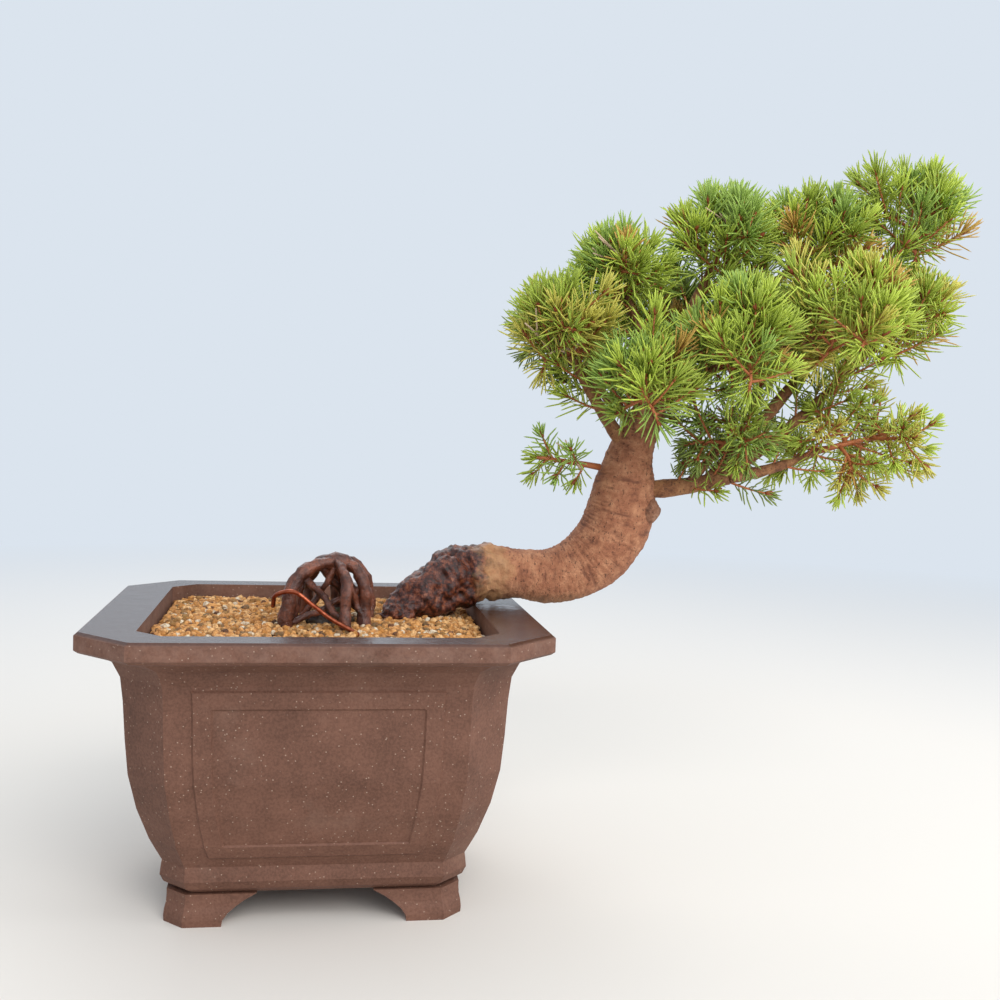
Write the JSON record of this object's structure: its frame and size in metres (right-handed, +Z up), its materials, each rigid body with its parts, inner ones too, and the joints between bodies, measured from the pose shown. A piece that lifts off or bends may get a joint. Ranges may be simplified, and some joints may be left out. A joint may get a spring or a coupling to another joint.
{
  "type": "white spruce bonsai in its pot",
  "caption": "Leaning white spruce bonsai with an arch of bare roots, in a square unglazed stoneware pot with cut corners and bracket feet.",
  "frame": {"origin": "under the middle of the outline of tree and pot, on the surface that the pot's feet stand on", "axes": "+X towards the side that the tree leans to, +Y away from the side shown in the picture, +Z up"},
  "size_m": [0.4171, 0.1994, 0.3585],
  "materials": {
    "stoneware": "unglazed, matte, with a faint mineral bloom",
    "soil_granules": "moist baked clay granules",
    "bark": "scaly and wrinkled bark",
    "root_bark": "smooth wet bark",
    "copper_wire": "dull annealed copper",
    "needles": "living needles, satin"
  },
  "bodies": {
    "root": {"pot": "stoneware", "pot_foot_front_right": "stoneware", "pot_foot_front_left": "stoneware", "pot_foot_back_right": "stoneware", "pot_foot_back_left": "stoneware", "soil": "soil_granules", "exposed_roots": "root_bark", "root_wire": "copper_wire", "trunk": "bark", "bough_main": "bark", "bough_left": "bark", "bough_left_back": "bark", "bough_top_left": "bark", "bough_top": "bark", "bough_top_right": "bark", "bough_leader": "bark", "bough_right": "bark", "bough_low_right": "bark", "bough_front": "bark", "bough_front_left": "bark", "bough_front_right": "bark", "bough_middle": "bark", "bough_back": "bark", "bough_back_right": "bark", "bough_low_middle": "bark", "foliage_low_left": "needles", "foliage_left": "needles", "foliage_left_back": "needles", "foliage_top_left": "needles", "foliage_top": "needles", "foliage_top_right": "needles", "foliage_leader": "needles", "foliage_right": "needles", "foliage_low_right": "needles", "foliage_front": "needles", "foliage_front_left": "needles", "foliage_front_right": "needles", "foliage_middle": "needles", "foliage_back": "needles", "foliage_back_right": "needles", "foliage_low_middle": "needles"}
  },
  "joints": []
}
